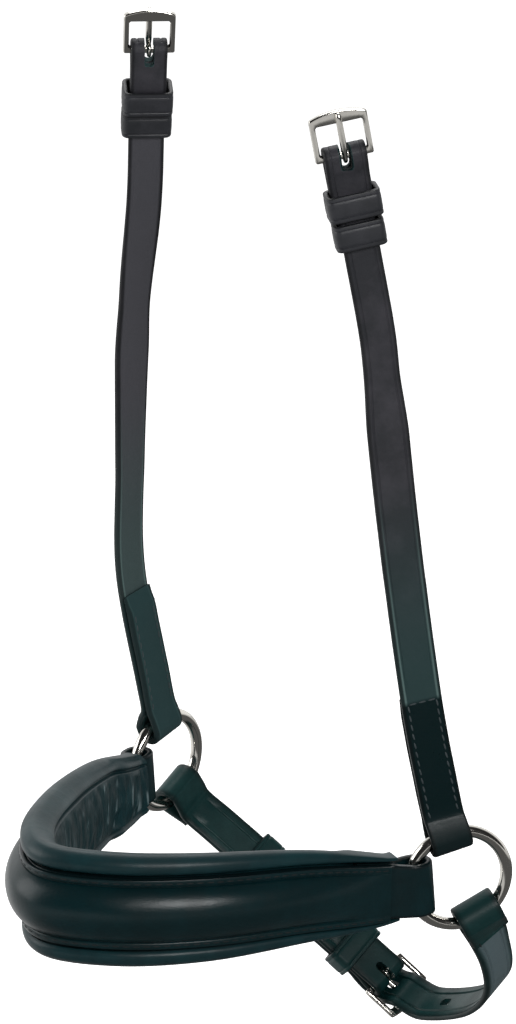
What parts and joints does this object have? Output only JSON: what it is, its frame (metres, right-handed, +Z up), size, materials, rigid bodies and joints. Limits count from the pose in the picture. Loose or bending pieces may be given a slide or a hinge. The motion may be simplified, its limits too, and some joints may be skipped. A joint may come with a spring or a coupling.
{
  "type": "padded anatomic noseband",
  "caption": "Padded anatomic noseband with two rings, cheek straps with buckles and keepers, and a buckled chin strap.",
  "frame": {"origin": "midway between the centres of the two rings", "axes": "+X forward along the horse's nose, +Y to the horse's left, +Z up"},
  "size_m": [0.1905, 0.1633, 0.3777],
  "materials": {
    "band_leather": "smooth satin black leather",
    "strap_leather": "waxed black strap leather",
    "lining_leather": "soft matt black lining leather",
    "foam": "soft padding, not seen",
    "steel": "polished"
  },
  "bodies": {
    "noseband": {"noseband_backing": "band_leather", "noseband_pad": "lining_leather", "noseband_filler": "foam", "noseband_cover": "band_leather"},
    "ring_left": {"ring_left": "steel"},
    "cheek_left": {"cheek_strap_left": "strap_leather", "fixed_keeper_left": "strap_leather"},
    "running_keeper_left": {"running_keeper_left": "strap_leather"},
    "cheek_buckle_left": {"cheek_buckle_left": "steel"},
    "cheek_prong_left": {"cheek_prong_left": "steel"},
    "ring_right": {"ring_right": "steel"},
    "cheek_right": {"cheek_strap_right": "strap_leather", "fixed_keeper_right": "strap_leather"},
    "running_keeper_right": {"running_keeper_right": "strap_leather"},
    "cheek_buckle_right": {"cheek_buckle_right": "steel"},
    "cheek_prong_right": {"cheek_prong_right": "steel"},
    "chin": {"chin_strap": "band_leather", "chin_billet": "band_leather", "chin_buckle": "steel", "chin_prong": "steel", "chin_fixed_keeper": "band_leather"},
    "chin_running_keeper": {"chin_running_keeper": "band_leather"}
  },
  "joints": [
    {"name": "ring_left_turn", "type": "hinge", "parent": "noseband", "child": "ring_left", "pos_m": [0, 0.0718, 0], "axis": [0.4863, 0.8738, 0], "continuous": true},
    {"name": "cheek_left_swing", "type": "hinge", "parent": "noseband", "child": "cheek_left", "pos_m": [0, 0.0718, 0], "axis": [0.4863, 0.8738, 0], "range_deg": [-25, 0]},
    {"name": "running_keeper_left_slide", "type": "slide", "parent": "cheek_left", "child": "running_keeper_left", "axis": [-0.1588, 0.0966, -0.9826], "range_m": [0, 0.022]},
    {"name": "cheek_buckle_left_tip", "type": "hinge", "parent": "cheek_left", "child": "cheek_buckle_left", "pos_m": [0.0312, 0.0462, 0.252], "axis": [-0.7933, 0.5799, 0.1853], "range_deg": [-30, 30]},
    {"name": "cheek_prong_left_lift", "type": "hinge", "parent": "cheek_buckle_left", "child": "cheek_prong_left", "pos_m": [0.0312, 0.0462, 0.252], "axis": [-0.7933, 0.5799, 0.1853], "range_deg": [0, 80]},
    {"name": "ring_right_turn", "type": "hinge", "parent": "noseband", "child": "ring_right", "pos_m": [0, -0.0718, 0], "axis": [-0.1028, 0.9947, 0], "continuous": true},
    {"name": "cheek_right_swing", "type": "hinge", "parent": "noseband", "child": "cheek_right", "pos_m": [0, -0.0718, 0], "axis": [-0.1028, 0.9947, 0], "range_deg": [-25, 0]},
    {"name": "running_keeper_right_slide", "type": "slide", "parent": "cheek_right", "child": "running_keeper_right", "axis": [-0.1841, -0.2473, -0.9513], "range_m": [0, 0.022]},
    {"name": "cheek_buckle_right_tip", "type": "hinge", "parent": "cheek_right", "child": "cheek_buckle_right", "pos_m": [0.0358, -0.0392, 0.2726], "axis": [0.7796, -0.6262, 0.0121], "range_deg": [-30, 30]},
    {"name": "cheek_prong_right_lift", "type": "hinge", "parent": "cheek_buckle_right", "child": "cheek_prong_right", "pos_m": [0.0358, -0.0392, 0.2726], "axis": [0.7796, -0.6262, 0.0121], "range_deg": [0, 80]},
    {"name": "chin_swing", "type": "hinge", "parent": "noseband", "child": "chin", "pos_m": [0, 0, 0], "axis": [0, 1, 0], "range_deg": [-5, 5]},
    {"name": "chin_running_keeper_slide", "type": "slide", "parent": "chin", "child": "chin_running_keeper", "axis": [-0.3605, 0.689, -0.6288], "range_m": [0, 0.02]}
  ]
}
